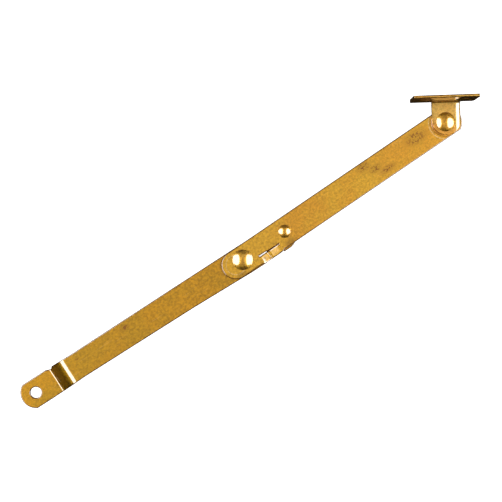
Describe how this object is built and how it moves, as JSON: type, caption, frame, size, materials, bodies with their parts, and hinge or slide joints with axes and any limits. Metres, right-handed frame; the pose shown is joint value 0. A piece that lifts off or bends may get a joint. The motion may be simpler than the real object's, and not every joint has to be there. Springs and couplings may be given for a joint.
{
  "type": "casement window stay",
  "caption": "Folding elbow stay: flat strip arms riveted at an elbow with an over-centre stop, a cranked screw tab and a swivelling angle bracket.",
  "frame": {"origin": "centre of the screw hole in the cranked tab, on the tab's back face, which lies on the frame or cabinet side", "axes": "+Z out of the mounting surface along the screw, +X along the lower arm from the screw hole to the elbow rivet, +Y to the side the bracket's plate faces"},
  "size_m": [0.2686, 0.0295, 0.0244],
  "materials": {
    "strip_plating": "satin",
    "bracket_plating": "satin",
    "rivet_plating": "polished",
    "washer_plating": "satin"
  },
  "bodies": {
    "lower": {"lower_arm": "strip_plating", "elbow_rivet": "rivet_plating", "elbow_washer": "washer_plating"},
    "upper": {"upper_arm": "strip_plating", "detent_rivet": "rivet_plating", "bracket_rivet": "rivet_plating", "bracket_washer": "washer_plating"},
    "bracket": {"lid_bracket": "bracket_plating"}
  },
  "joints": [
    {"name": "elbow_fold", "type": "hinge", "parent": "lower", "child": "upper", "pos_m": [0.1225, 0, 0.008], "axis": [0, 0, -1], "range_deg": [0, 112]},
    {"name": "bracket_swivel", "type": "hinge", "parent": "upper", "child": "bracket", "pos_m": [0.24246, 0.00314, 0.0102], "axis": [0, 0, 1], "continuous": true}
  ]
}
